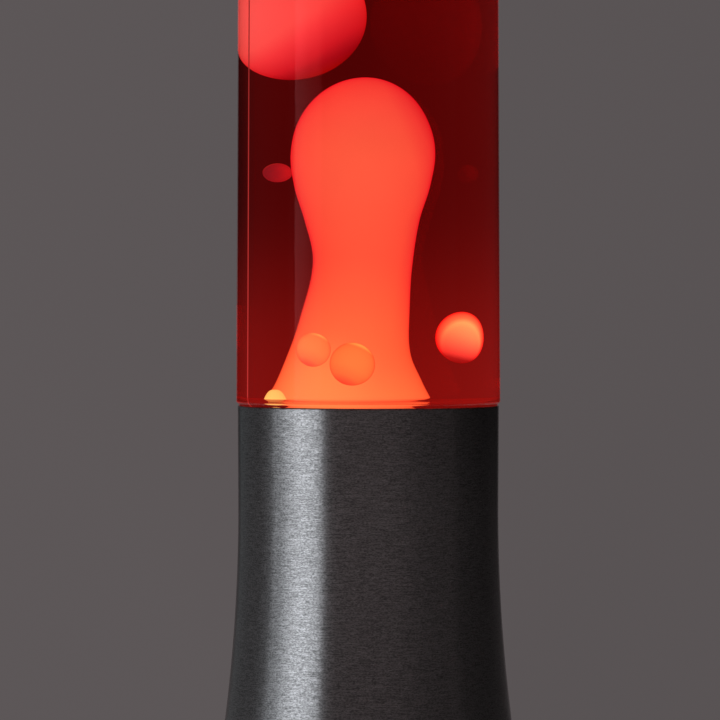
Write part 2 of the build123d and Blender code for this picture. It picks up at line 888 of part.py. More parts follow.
with BuildPart() as cap_collar:
    skirt_inside = cap_inside(web_top) - collar_skirt
    turned(
        [
            (hub_bore, hub_bottom),
            (hub_radius, hub_bottom),
            (hub_radius, web_bottom),
            (cap_inside(web_bottom), web_bottom),
            (cap_inside(collar_skirt_top), collar_skirt_top),
            (skirt_inside, collar_skirt_top),
            (skirt_inside, web_top),
            (hub_radius, web_top),
            (hub_radius, lip_top),
            (lip_bore, lip_top),
            (lip_bore, closure_top),
            (hub_bore, closure_top),
        ],
    )
    with BuildSketch(Plane.XY.offset(web_top - rib_root)):
        with PolarLocations((hub_radius + skirt_inside) / 2, rib_count):
            Rectangle(skirt_inside - hub_radius + 2 * rib_root, rib_thickness)
    extrude(amount=rib_height)
cap_collar.part.label = "cap_collar"
export_step(cap_collar.part, "parts/cap_collar.step")
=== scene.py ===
"""A motion lamp: brushed metal base, bottle of red liquid and glowing wax, brushed metal cap."""

from math import atan2, ceil, cos, pi, radians, sin, sqrt, tan

import bmesh
import bpy
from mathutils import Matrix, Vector, noise


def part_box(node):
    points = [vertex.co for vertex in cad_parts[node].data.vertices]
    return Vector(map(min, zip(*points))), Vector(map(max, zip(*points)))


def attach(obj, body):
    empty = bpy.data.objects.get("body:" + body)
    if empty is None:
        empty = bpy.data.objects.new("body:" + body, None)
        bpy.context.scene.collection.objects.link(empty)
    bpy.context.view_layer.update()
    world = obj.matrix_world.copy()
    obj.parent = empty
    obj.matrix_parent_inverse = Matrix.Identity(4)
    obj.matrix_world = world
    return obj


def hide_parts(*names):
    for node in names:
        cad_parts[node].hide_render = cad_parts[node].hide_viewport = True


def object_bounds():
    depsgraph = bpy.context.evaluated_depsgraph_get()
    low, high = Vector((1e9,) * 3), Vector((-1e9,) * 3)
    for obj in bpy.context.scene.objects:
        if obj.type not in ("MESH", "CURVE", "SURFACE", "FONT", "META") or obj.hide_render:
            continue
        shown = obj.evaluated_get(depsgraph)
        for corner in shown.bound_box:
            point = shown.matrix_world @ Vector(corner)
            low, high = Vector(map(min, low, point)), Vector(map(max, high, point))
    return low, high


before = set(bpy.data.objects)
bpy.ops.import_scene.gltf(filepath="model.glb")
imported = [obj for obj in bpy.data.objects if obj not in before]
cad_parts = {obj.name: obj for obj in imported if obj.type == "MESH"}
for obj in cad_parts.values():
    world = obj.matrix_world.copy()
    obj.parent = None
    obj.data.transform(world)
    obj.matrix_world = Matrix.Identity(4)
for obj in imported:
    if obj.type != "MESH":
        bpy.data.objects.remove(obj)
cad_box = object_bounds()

MM = 0.001


def heights(node):
    """The heights of a node's lowest and highest points."""
    low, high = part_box(node)
    return low.z, high.z


# ---- heights taken from the frame ----
ground_z = cad_box[0].z
foot_z, rim_z = heights("base_shell")
bottle_bottom, bottle_top = heights("bottle_glass")
liquid_bottom, liquid_level = heights("liquid")
column_bottom = heights("wax_column")[0]
cap_bottom, cap_top = heights("cap_shell")
thread_bottom, screw_cap_top = heights("bulb_screw_cap")
bulb_top = heights("bulb_envelope")[1]

# ---- driving sizes of the turned pieces, in metres ----
SHEET = 1.0 * MM
FOOT_RADIUS = 55 * MM
FLANGE_RADIUS = 46 * MM
WAIST_RADIUS = 39.35 * MM
WAIST_HEIGHT = 128.5 * MM
RIM_RADIUS = 39.5 * MM
INLET_HEIGHT = 20 * MM        # where the cord's inlet crosses the base's outer face
INLET_HOLE = 5 * MM
GLASS_RADIUS = 40 * MM        # outside of the bottle at the rim's height
GLASS_TAPER = 0.0049          # how much of its radius the bottle loses as it rises by one unit
GLASS_WALL = 3.0 * MM
SHOULDER = 350.9 * MM
SHOULDER_ROUND = 8 * MM
NECK_RADIUS = 20 * MM
NECK_BORE = 16.5 * MM
FINISH_RADIUS = 21.1 * MM
FINISH_BOTTOM = 363.5 * MM
FLOOR_ROUND = 1.6 * MM        # where the bottle's inside turns from its floor to its side
SEAM_ANGLE = radians(205.4)   # the front one shows just inside the bottle's left edge
CAP_LOW_RADIUS = 39.0 * MM
CAP_TOP_RADIUS = 38.6 * MM
CAP_ROUND = 2.5 * MM

inside_floor = liquid_bottom - 0.1 * MM   # the bottle's, a hair under the liquid in the frame

# The base's flare is an arc that is upright at the waist.
flare_drop = WAIST_HEIGHT - foot_z
flare_growth = FOOT_RADIUS - WAIST_RADIUS
flare_arc = (flare_drop**2 + flare_growth**2) / (2 * flare_growth)

# ---- colours and lights of the studio ----
BACKDROP = (0.104, 0.091, 0.093)
COOL = (0.83, 0.95, 1.0)
NEUTRAL = (1.0, 1.0, 1.0)
GUNMETAL = (0.262, 0.240, 0.242)
KEY_POWERS = (1.02, 1.20, 0.82, 0.40, 0.04)   # in watts, from the front round to the left
FIRST_KEY = 47.1                              # in degrees, as is the step from key to key
KEY_STEP = 12.6


# ---- outlines and meshes ----
def outline(corners, step=0.35 * MM, support=0.25 * MM):
    """Points round an outline of (radius, height, rounding) corners, with arcs at the rounded ones.

    An arc's points are at most a step apart. A straight run gets an extra point near each end, as far
    from it as support says, so that smooth shading stays flat between the two.
    """
    points = []
    for i, (x, z, rounding) in enumerate(corners):
        corner = Vector((x, z))
        before = Vector(corners[i - 1][:2]) - corner
        after = Vector(corners[(i + 1) % len(corners)][:2]) - corner
        before_way, after_way = before.normalized(), after.normalized()
        half = before_way.angle(after_way) / 2
        reach = rounding / tan(half) if rounding > 0 else 0.0
        start, end = corner + before_way * reach, corner + after_way * reach
        shortest_run = 4 * support + reach
        if before.length > shortest_run and x > 0:
            points.append(start + before_way * support)
        if rounding > 0:
            bisector = (before_way + after_way).normalized()
            centre = corner + bisector * (rounding / sin(half))
            first = atan2(start.y - centre.y, start.x - centre.x)
            swing = atan2(end.y - centre.y, end.x - centre.x) - first
            swing = (swing + pi) % (2 * pi) - pi
            pieces = max(4, ceil(abs(swing) * rounding / step))
            for k in range(pieces + 1):
                angle = first + swing * k / pieces
                points.append(centre + rounding * Vector((cos(angle), sin(angle))))
        else:
            points.append(corner)
        if after.length > shortest_run and x > 0:
            points.append(end + after_way * support)
    return [(p.x, p.y) for p in points]


def object_from(name, bm, body, smooth_angle=35):
    """Makes a smooth-shaded object from a bmesh and lets it ride on its body, if it has one."""
    bmesh.ops.recalc_face_normals(bm, faces=bm.faces)
    mesh = bpy.data.meshes.new(name)
    bm.to_mesh(mesh)
    bm.free()
    mesh.shade_smooth()
    mesh.set_sharp_from_angle(angle=radians(smooth_angle))
    obj = bpy.data.objects.new(name, mesh)
    bpy.context.collection.objects.link(obj)
    if body:
        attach(obj, body)
    return obj


def ring(bm, radius, z, segments, x=0.0, y=0.0):
    """A ring of vertices, or one vertex where the radius is nothing."""
    if radius < 1e-7:
        return [bm.verts.new((x, y, z))]
    angles = [2 * pi * k / segments for k in range(segments)]
    return [bm.verts.new((x + radius * cos(a), y + radius * sin(a), z)) for a in angles]


def skin(bm, rings):
    """Faces from each ring to the next, any of which may be a single vertex."""
    for lower, upper in zip(rings, rings[1:]):
        count = max(len(lower), len(upper))
        for k in range(count if count > 1 else 0):
            corners = [
                lower[k % len(lower)],
                lower[(k + 1) % len(lower)],
                upper[(k + 1) % len(upper)],
                upper[k % len(upper)],
            ]
            bm.faces.new(list(dict.fromkeys(corners)))


def lathe(name, points, body, closed=True, segments=256):
    """Turns an outline of (radius, height) points about the lamp's axis."""
    bm = bmesh.new()
    rings = [ring(bm, radius, z, segments) for radius, z in points]
    skin(bm, rings + rings[:1] if closed else rings)
    return object_from(name, bm, body)


def smooth_curve(stations, t, last_slope=None):
    """A smooth value at t through (t, value) stations, by cubic pieces."""
    slopes = []
    for i in range(len(stations)):
        low, high = stations[max(0, i - 1)], stations[min(len(stations) - 1, i + 1)]
        slopes.append((high[1] - low[1]) / (high[0] - low[0]))
    if last_slope is not None:
        slopes[-1] = last_slope
    i = 0
    while i < len(stations) - 2 and t > stations[i + 1][0]:
        i += 1
    (t0, v0), (t1, v1) = stations[i], stations[i + 1]
    width = t1 - t0
    u = min(1.0, max(0.0, (t - t0) / width))
    rise = 3 * u**2 - 2 * u**3
    start_bend = (u**3 - 2 * u**2 + u) * width * slopes[i]
    end_bend = (u**3 - u**2) * width * slopes[i + 1]
    return v0 + (v1 - v0) * rise + start_bend + end_bend


def wobble(bm, amount, scale, seed, above=0.0):
    """Pushes vertices in and out in slow waves, so that poured shapes don't look turned."""
    bm.normal_update()
    for v in bm.verts:
        if v.co.z > above:
            v.co += v.normal * amount * noise.noise(v.co * scale + Vector((seed, 0, 0)))


# ---- materials ----
class Nodes:
    """A short way to write the nodes of a new material, or of a world that is given."""

    def __init__(self, name, world=None):
        self.material = world or bpy.data.materials.new(name)
        self.material.use_nodes = True
        self.tree = self.material.node_tree
        self.shader = self.tree.nodes["Background" if world else "Principled BSDF"]
        self.output = self.tree.nodes["World Output" if world else "Material Output"]

    def add(self, kind, inputs=None, **properties):
        node = self.tree.nodes.new(kind)
        for key, value in properties.items():
            setattr(node, key, value)
        for key, value in (inputs or {}).items():
            self.feed(node.inputs[key], value)
        return node

    def feed(self, socket, value):
        """Links a socket to another node's output, or sets its value. Colours are given without alpha."""
        if isinstance(value, bpy.types.NodeSocket):
            self.tree.links.new(value, socket)
        elif socket.type == "RGBA":
            socket.default_value = (*value, 1.0)
        else:
            socket.default_value = value

    def set(self, **values):
        """Sets or links sockets of the main shader, spelled with _ for each space."""
        for key, value in values.items():
            self.feed(self.shader.inputs[key.replace("_", " ")], value)

    def place(self):
        """The point in the lamp's own coordinates, in metres."""
        return self.add("ShaderNodeTexCoord").outputs["Object"]

    def part(self, vector, axis):
        return self.add("ShaderNodeSeparateXYZ", {"Vector": vector}).outputs[axis]

    def math(self, operation, a, b):
        return self.add("ShaderNodeMath", {0: a, 1: b}, operation=operation).outputs["Value"]

    def vector(self, operation, *values, result="Value"):
        """Vector arithmetic, whose result is a number or, where that is asked for, a Vector."""
        inputs = dict(enumerate(values))
        return self.add("ShaderNodeVectorMath", inputs, operation=operation).outputs[result]

    def stretch(self, vector, scale):
        """Scales a place, so that a noise on it has this many cells to the metre along each axis."""
        return self.add("ShaderNodeMapping", {"Vector": vector, "Scale": scale}).outputs["Vector"]

    def noise(self, vector, scale=1.0, detail=3.0, roughness=0.5):
        sockets = {"Vector": vector, "Scale": scale, "Detail": detail, "Roughness": roughness}
        return self.add("ShaderNodeTexNoise", sockets).outputs["Fac"]

    def span(self, value, start, end=(0.0, 1.0), smooth=False):
        """Maps a value from the range of start to the range of end, clamped at both ends."""
        sockets = {"Value": value}
        sockets.update(zip(("From Min", "From Max", "To Min", "To Max"), (*start, *end)))
        kind = "SMOOTHSTEP" if smooth else "LINEAR"
        return self.add("ShaderNodeMapRange", sockets, interpolation_type=kind).outputs["Result"]

    def ramp(self, value, stops):
        """A colour ramp with (place, colour) stops."""
        node = self.add("ShaderNodeValToRGB", {"Fac": value})
        band = node.color_ramp
        while len(band.elements) < len(stops):
            band.elements.new(0.5)
        for element, (place, colour) in zip(band.elements, stops):
            element.position = place
            element.color = (*colour, 1.0)
        return node.outputs["Color"]

    def mix(self, factor, a, b, blend="MIX"):
        """Mixes two colours, whose sockets share their names with others and so go by number."""
        factor_socket, a_socket, b_socket, result = 0, 6, 7, 2
        inputs = {factor_socket: factor, a_socket: a, b_socket: b}
        return self.add("ShaderNodeMix", data_type="RGBA", blend_type=blend, inputs=inputs).outputs[result]

    def bump(self, height, strength, distance):
        sockets = {"Height": height, "Strength": strength, "Distance": distance}
        self.set(Normal=self.add("ShaderNodeBump", sockets).outputs["Normal"])


def brushed_metal(name, grain, anisotropic, around=True):
    """Gunmetal brushed round the lamp's axis, or in rings on a face that looks up.

    Grain is how far the brush marks go to either side of the metal's own colour.
    """
    roughness, dash_share = 0.30, 0.58
    m = Nodes(name)
    place = m.place()
    if around:
        dashes = m.stretch(place, (1500, 1500, 3500))
        lines = m.stretch(place, (300, 300, 3700))
    else:
        rings = m.math("MULTIPLY", m.vector("LENGTH", m.stretch(place, (1, 1, 0))), 4300.0)
        dashes = m.stretch(place, (1400, 1400, 0))
        lines = m.add("ShaderNodeCombineXYZ", {"X": rings}).outputs["Vector"]
    short_marks = m.math("MULTIPLY", m.noise(dashes, detail=2.0, roughness=0.6), dash_share)
    long_marks = m.math("MULTIPLY", m.noise(lines, detail=3.0, roughness=0.6), 1 - dash_share)
    marks = m.math("ADD", short_marks, long_marks)
    dark = tuple(c * (1 - grain) for c in GUNMETAL)
    light = tuple(c * (1 + grain) for c in GUNMETAL)
    tangent = m.add("ShaderNodeTangent", direction_type="RADIAL", axis="Z")
    m.set(
        Base_Color=m.mix(m.span(marks, (0.39, 0.61)), dark, light),
        Metallic=1.0,
        Roughness=m.span(marks, (0.3, 0.7), (roughness * 1.15, roughness * 0.85)),
        Anisotropic=anisotropic,
        Anisotropic_Rotation=0.25 if around else 0.0,
        Tangent=tangent.outputs["Tangent"],
    )
    m.bump(marks, strength=0.12, distance=0.03 * MM)
    return m.material


def rolled_metal(name, colour, roughness):
    """Plain sheet or turned metal with faint rolling marks and a few dull patches."""
    m = Nodes(name)
    place = m.place()
    marks = m.noise(m.stretch(place, (90, 2400, 900)))
    patches = m.noise(place, scale=160.0, detail=4.0, roughness=0.6)
    dark = tuple(c * 0.72 for c in colour)
    m.set(
        Base_Color=m.mix(m.span(patches, (0.35, 0.65)), dark, colour),
        Metallic=1.0,
        Roughness=m.span(marks, (0.3, 0.7), (roughness * 0.8, roughness * 1.3)),
    )
    m.bump(marks, strength=0.25, distance=0.04 * MM)
    return m.material


def moulded(name, colour, roughness, grain_scale=2600.0, **extra):
    """Moulded plastic, rubber or ceramic with a fine surface grain."""
    m = Nodes(name)
    place = m.place()
    grain = m.noise(place, scale=grain_scale, detail=2.0)
    cloud = m.noise(place, scale=90.0)
    dull = tuple(c * 0.8 for c in colour)
    m.set(
        Base_Color=m.mix(m.span(cloud, (0.3, 0.7)), dull, colour),
        Roughness=m.span(cloud, (0.3, 0.7), (roughness * 0.9, roughness * 1.15)),
        **extra,
    )
    m.bump(grain, strength=0.4, distance=0.03 * MM)
    return m.material


def clear_glass():
    """Blown glass: clear, with a slow waviness from the mould and red where the liquid wets it.

    A painted red glow inside it, strongest at the rim, stands in for the bulb's light that the wall
    carries upwards.
    """
    m = Nodes("bottle_clear")
    place = m.place()
    height = m.part(place, "Z")
    wave = m.noise(m.stretch(place, (45, 45, 18)), detail=2.0)
    wet = m.span(height, (liquid_level, liquid_level + 2 * MM), (1.0, 0.0))
    m.set(
        Base_Color=m.mix(wet, (0.985, 0.995, 0.99), (0.99, 0.42, 0.42)),
        Roughness=0.0,
        IOR=1.5,
        Transmission_Weight=1.0,
        Specular_Tint=m.mix(wet, (0.7, 0.7, 0.7), (0.30, 0.02, 0.02)),
    )
    m.bump(wave, strength=0.25, distance=0.02 * MM)
    # painted glow: the glass emits red light low down, fading on the way up and weaker in the bottle's
    # bottom
    painted_glow_by_height = m.span(height, (rim_z, rim_z + 75 * MM), (8.0, 0.0), smooth=True)
    above_floor = m.span(height, (rim_z + 0.6 * MM, rim_z + 1.6 * MM), (0.35, 1.0))
    strength = m.math("MULTIPLY", painted_glow_by_height, above_floor)
    glow = m.add("ShaderNodeEmission", {"Color": (1.0, 0.12, 0.10), "Strength": strength})
    m.feed(m.output.inputs["Volume"], glow.outputs["Emission"])
    return m.material


def red_liquid():
    """Clear red liquid that soaks up green and blue, with a faint painted glow low down and to the right.
    """
    m = Nodes("red_liquid")
    place = m.place()
    # painted glow: the liquid emits red, most near its bottom and towards the right
    low_reach = (liquid_bottom, liquid_bottom + 60 * MM)
    low_glow = m.span(m.part(place, "Z"), low_reach, (0.05, 0.0), smooth=True)
    right_glow = m.span(m.part(place, "X"), (0.0, 30 * MM), (0.0, 0.0125))
    m.set(
        Base_Color=NEUTRAL,
        Roughness=0.0,
        IOR=1.36,
        Transmission_Weight=1.0,
        Specular_Tint=(0.1, 0.01, 0.01),
        Emission_Color=(1.0, 0.04, 0.02),
        Emission_Strength=m.math("ADD", low_glow, right_glow),
    )
    absorb = m.add("ShaderNodeVolumeAbsorption", {"Color": (0.89, 0.0, 0.0), "Density": 40.0})
    m.feed(m.output.inputs["Volume"], absorb.outputs["Volume"])
    return m.material


def seam_glow():
    """The mould's seams, with a painted red glow for the light that they catch, which fades on the way up.
    """
    m = Nodes("seam_glow")
    height = m.part(m.place(), "Z")
    m.set(
        Base_Color=(0.25, 0.01, 0.01),
        Roughness=0.3,
        Specular_IOR_Level=0.1,
        # painted glow, fading with height
        Emission_Color=(1.0, 0.06, 0.05),
        Emission_Strength=m.span(height, (rim_z, rim_z + 140 * MM), (0.42, 0.14)),
    )
    return m.material


def lit_bulb():
    """The bulb's frosted glass, lit from inside and brightest at its top."""
    m = Nodes("lit_bulb")
    height = m.part(m.place(), "Z")
    m.set(
        Base_Color=(1.0, 0.97, 0.9),
        Roughness=0.35,
        Emission_Color=(1.0, 0.62, 0.30),
        Emission_Strength=m.span(height, (bulb_top - 20 * MM, bulb_top - 2 * MM), (0.3, 1.3)),
    )
    return m.material


METAL = brushed_metal("brushed_gunmetal", grain=0.50, anisotropic=0.75)
CAP_TOP = brushed_metal("spun_gunmetal", grain=0.45, anisotropic=0.6, around=False)
STEEL = rolled_metal("rolled_steel", (0.50, 0.50, 0.51), roughness=0.32)
ZINC = rolled_metal("zinc_steel", (0.66, 0.66, 0.63), roughness=0.26)
BRASS = rolled_metal("brass", (0.78, 0.58, 0.26), roughness=0.24)
SOLDER = rolled_metal("solder", (0.62, 0.62, 0.62), roughness=0.38)
RUBBER = moulded("foot_rubber", (0.028, 0.028, 0.029), roughness=0.75)
BLACK = moulded("black_plastic", (0.030, 0.030, 0.032), roughness=0.42)
WHITE = moulded("white_plastic", (0.72, 0.71, 0.66), roughness=0.45)
CERAMIC = moulded("holder_ceramic", (0.82, 0.79, 0.72), roughness=0.5, grain_scale=900.0)
BROWN = moulded("lead_brown", (0.16, 0.06, 0.025), roughness=0.35)
BLUE = moulded("lead_blue", (0.04, 0.13, 0.42), roughness=0.35)
LINER = moulded("seal_liner", (0.80, 0.78, 0.72), roughness=0.6)
TIN = moulded("closure_tin", (0.80, 0.78, 0.71), roughness=0.30, grain_scale=1400.0, Coat_Weight=0.4)
GLASS = clear_glass()
LIQUID = red_liquid()
SEAM = seam_glow()
BULB = lit_bulb()


# ---- the wax, with painted glow and painted shade ----
PLAIN_RIM = (0.98, 0.92, 0.92)


def wax(name, glow, painted_shading, painted_light_pool=None, rim=PLAIN_RIM, painted_shading_from=None):
    """Wax with painted light. Its painted glow follows the height, and each painted shade darkens or
    lightens it by how a face turns to a direction.

    The glow is (height, colour) pairs, from the liquid's bottom upwards and in millimetres. A painted
    shade is a direction and its (facing, colour) pairs, where facing runs from -1, turned away, to 1. The
    pool of painted light is a centre, a reach and a colour. Rim is what a coat of clear wax lets through,
    which reddens the outline. Where the two heights for the shading are given, the painted shades and the
    rim fade in between those two heights.
    """
    m = Nodes(name)
    place = m.place()
    top = glow[-1][0]
    height = m.span(m.part(place, "Z"), (liquid_bottom, liquid_bottom + top * MM))
    colour = m.ramp(height, [(h / top, c) for h, c in glow])
    # a painted pool of light: the glow turns to the tint near the centre
    if painted_light_pool:
        centre, reach, tint = painted_light_pool
        nearness = m.span(m.vector("DISTANCE", place, centre), (0.0, reach), (1.0, 0.0), smooth=True)
        colour = m.mix(nearness, colour, tint)
    strength = 1.0
    if painted_shading_from:
        strength = m.span(height, (painted_shading_from[0] / top, painted_shading_from[1] / top), smooth=True)
        rim = m.mix(strength, PLAIN_RIM, rim)
    normal = m.add("ShaderNodeTexCoord").outputs["Normal"]
    # painted shade and painted highlight, by how each face turns to a direction
    for direction, shades in painted_shading:
        facing = m.span(m.vector("DOT_PRODUCT", normal, Vector(direction).normalized()), (-1.0, 1.0))
        shade = m.ramp(facing, [((f + 1) / 2, c) for f, c in shades])
        colour = m.mix(strength, colour, shade, blend="MULTIPLY")
    cloud = m.noise(place, scale=55.0, detail=2.0)
    m.set(
        Base_Color=(0.5, 0.08, 0.04),
        Roughness=0.5,
        Specular_IOR_Level=0.1,
        Emission_Color=colour,
        Emission_Strength=m.span(cloud, (0.3, 0.7), (0.97, 1.03)),
        Coat_Weight=1.0,
        Coat_IOR=1.0,
        Coat_Roughness=0.0,
        Coat_Tint=rim,
    )
    return m.material


def even_glow(colour):
    """The painted glow of a small piece that is one colour from bottom to top."""
    return [(0, colour), (100, colour)]


# Painted glow of the column: yellow-orange low down by the bulb, redder towards the top.
COLUMN_GLOW = [
    (0, (1.15, 0.95, 0.30)),
    (2.5, (1.15, 1.16, 0.32)),
    (10, (1.15, 1.05, 0.32)),
    (25, (1.15, 0.96, 0.31)),
    (44, (1.12, 0.79, 0.305)),
    (62, (1.10, 0.75, 0.305)),
    (77, (1.10, 0.70, 0.285)),
    (98, (1.08, 0.55, 0.30)),
]
# Painted shade: faces turned to the right and upwards darken and redden, on the neck and head only.
COLUMN_SHADES = [
    (-1.0, (0.9, 0.50, 0.70)),
    (-0.88, (0.97, 0.74, 0.90)),
    (-0.65, NEUTRAL),
    (1.0, NEUTRAL),
]
COLUMN_WAX = wax(
    "column_wax",
    COLUMN_GLOW,
    [((-0.9, 0.0, -0.45), COLUMN_SHADES)],
    # a painted pool of light brightens the foot towards the front left
    painted_light_pool=((-13 * MM, -12 * MM, column_bottom + 6 * MM), 18 * MM, (1.18, 1.45, 0.40)),
    rim=(0.98, 0.76, 0.90),
    painted_shading_from=(10, 47),
)
# Painted glow and painted shade of the upper blob: darker and redder on its lower right.
UPPER_SHADES = [
    (-0.97, (0.12, 0.015, 0.05)),
    (-0.82, (0.28, 0.05, 0.20)),
    (-0.60, (0.66, 0.22, 0.42)),
    (-0.30, (0.92, 0.55, 0.72)),
    (-0.05, NEUTRAL),
    (1.0, NEUTRAL),
]
UPPER_WAX = wax("upper_wax", even_glow((1.08, 0.295, 0.255)), [((-0.50, 0.0, 0.87), UPPER_SHADES)])
# Painted shade on the side blob: dark at its bottom, darkest on the lower left.
SIDE_SHADES = [
    (-1.0, (0.14, 0.01, 0.04)),
    (-0.80, (0.30, 0.03, 0.08)),
    (-0.62, (0.80, 0.17, 0.34)),
    (-0.30, (1.0, 0.42, 0.58)),
    (0.20, (1.0, 0.80, 0.85)),
    (0.55, NEUTRAL),
]
# A painted highlight in an arc under the side blob's top, with a painted redder outline outside it and a
# redder middle inside it.
FRONT_SHADES = [
    (-0.4, (1.0, 0.30, 0.38)),
    (0.0, (1.0, 0.32, 0.40)),
    (0.36, (1.0, 0.52, 0.58)),
    (0.56, NEUTRAL),
    (0.72, (1.0, 0.78, 0.85)),
    (1.0, (1.0, 0.62, 0.74)),
]
SIDE_WAX = wax(
    "side_wax",
    even_glow((1.10, 1.95, 0.50)),
    [((0.22, 0.0, 0.97), SIDE_SHADES), ((0.22, -0.90, -0.35), FRONT_SHADES)],
    rim=(0.99, 0.60, 0.68),
)
# Painted glow of the beads, with a painted crescent highlight on faces turned up and to the right and
# painted redder shade on faces turned away.
BEAD_SHADES = [
    (-1.0, (1.0, 0.45, 0.75)),
    (-0.80, (1.0, 0.80, 0.9)),
    (-0.4, (1.0, 0.97, 1.0)),
    (0.60, NEUTRAL),
    (0.72, (1.0, 1.9, 1.6)),
    (0.86, (1.0, 2.8, 2.2)),
]
BEAD_PAINTED_SHADING = [((0.40, 0.32, 0.86), BEAD_SHADES)]
BEAD_RIM = (0.97, 0.88, 0.90)
SMALL_BEAD_WAX = wax("small_bead_wax", even_glow((1.08, 0.76, 0.20)), BEAD_PAINTED_SHADING, rim=BEAD_RIM)
LARGE_BEAD_WAX = wax("large_bead_wax", even_glow((1.08, 0.64, 0.14)), BEAD_PAINTED_SHADING, rim=BEAD_RIM)
# Painted shade dims the droplet's front and underside; its back keeps the full painted glow.
DROPLET_SHADES = [(-1.0, (0.23, 0.13, 0.44)), (0.1, (0.26, 0.15, 0.47)), (0.6, NEUTRAL)]
DROPLET_WAX = wax("droplet_wax", even_glow((1.08, 0.62, 0.30)), [((0, 0.9, 0.43), DROPLET_SHADES)])
# Painted shade under the floor drop, and a bright yellow painted glow for the bulb's light from below.
FLOOR_SHADES = [(-1.0, (0.3, 0.1, 0.1)), (-0.5, (0.8, 0.5, 0.5)), (-0.1, NEUTRAL), (1.0, NEUTRAL)]
FLOOR_WAX = wax("floor_wax", even_glow((1.16, 2.1, 0.50)), [((0, 0, 1), FLOOR_SHADES)])

# Finishes for the pieces that stay as the frame has them.
FINISHES = {
    "seat_ring": STEEL,
    "base_plate": STEEL,
    "rubber_feet": RUBBER,
    "plate_screws": ZINC,
    "plate_nuts": ZINC,
    "cord_grommet": BLACK,
    "holder_bridge": ZINC,
    "bridge_screws": ZINC,
    "bridge_nuts": ZINC,
    "nipple_tube": ZINC,
    "nipple_nuts": ZINC,
    "nipple_washer": ZINC,
    "holder_cap": BLACK,
    "holder_insert": CERAMIC,
    "holder_barrel": BLACK,
    "screw_shell": BRASS,
    "centre_contact": BRASS,
    "terminal_block": WHITE,
    "terminal_inserts": BRASS,
    "terminal_screws": ZINC,
    "lead_live": BROWN,
    "lead_neutral": BLUE,
    "bulb_contact": SOLDER,
    "bulb_insulator": BLACK,
    "bulb_envelope": BULB,
    "bulb_stem": GLASS,
    "bulb_wires": SOLDER,
    "bulb_filament": SOLDER,
    "heat_coil": STEEL,
    "bottle_closure": TIN,
    "closure_seal": LINER,
    "cap_collar": BLACK,
}


def wear(obj, material):
    """Gives an object one material on every face."""
    obj.data.materials.clear()
    obj.data.materials.append(material)
    for face in obj.data.polygons:
        face.material_index = 0


# ---- the base ----
def flare(depth=0.0, steps=60):
    """The base's curved wall from foot to waist, this deep under its outer face."""
    centre = WAIST_RADIUS + flare_arc
    low = foot_z + (SHEET if depth else 0.0)
    points = []
    for k in range(steps + 1):
        z = low + (WAIST_HEIGHT - low) * k / steps
        points.append((centre - sqrt((flare_arc + depth) ** 2 - (WAIST_HEIGHT - z) ** 2), z))
    return points


def cut_cord_hole(shell):
    """Cuts the hole for the cord's inlet, square to the flare at the shell's back."""
    low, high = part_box("cord_grommet")
    under_waist = WAIST_HEIGHT - INLET_HEIGHT
    slope = under_waist / sqrt(flare_arc**2 - under_waist**2)
    middle, length = (low + high) / 2, 24 * MM
    bpy.ops.mesh.primitive_cylinder_add(vertices=64, radius=INLET_HOLE, depth=length, location=middle)
    cutter = bpy.context.object
    cutter.rotation_mode = "QUATERNION"
    cutter.rotation_quaternion = Vector((0, 1, slope)).to_track_quat("Z", "Y")
    cut = shell.modifiers.new("cord_hole", "BOOLEAN")
    cut.object = cutter
    cut.solver = "EXACT"
    bpy.context.view_layer.update()
    cut_shell = shell.evaluated_get(bpy.context.evaluated_depsgraph_get())
    cut_mesh = bpy.data.meshes.new_from_object(cut_shell)
    shell.modifiers.clear()
    shell.data = cut_mesh
    bpy.data.objects.remove(cutter)


def make_base_shell():
    """The spun shell: a flare, a straight upper wall with a rounded rim, and a flange at the foot."""
    edge_round = 0.45 * MM
    upper_wall = outline(
        [
            (RIM_RADIUS, rim_z, edge_round),
            (RIM_RADIUS - SHEET, rim_z, edge_round),
            (WAIST_RADIUS - SHEET, WAIST_HEIGHT, 0),
            (WAIST_RADIUS, WAIST_HEIGHT, 0),
        ],
        step=0.1 * MM,
        support=0.3 * MM,
    )
    above_waist = [(radius, z) for radius, z in upper_wall if z > WAIST_HEIGHT + 1 * MM]
    foot = [(FLANGE_RADIUS, foot_z + SHEET), (FLANGE_RADIUS, foot_z)]
    points = flare() + above_waist + flare(SHEET)[::-1] + foot
    shell = lathe("base_shell_skin", points, "base", segments=320)
    cut_cord_hole(shell)
    wear(shell, METAL)
    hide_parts("base_shell")
    return shell


# ---- the bottle and its liquid ----
def glass_line(z, depth=0.0):
    """Radius of the bottle's side, this deep under its outer face."""
    return GLASS_RADIUS - GLASS_TAPER * (z - rim_z) - depth


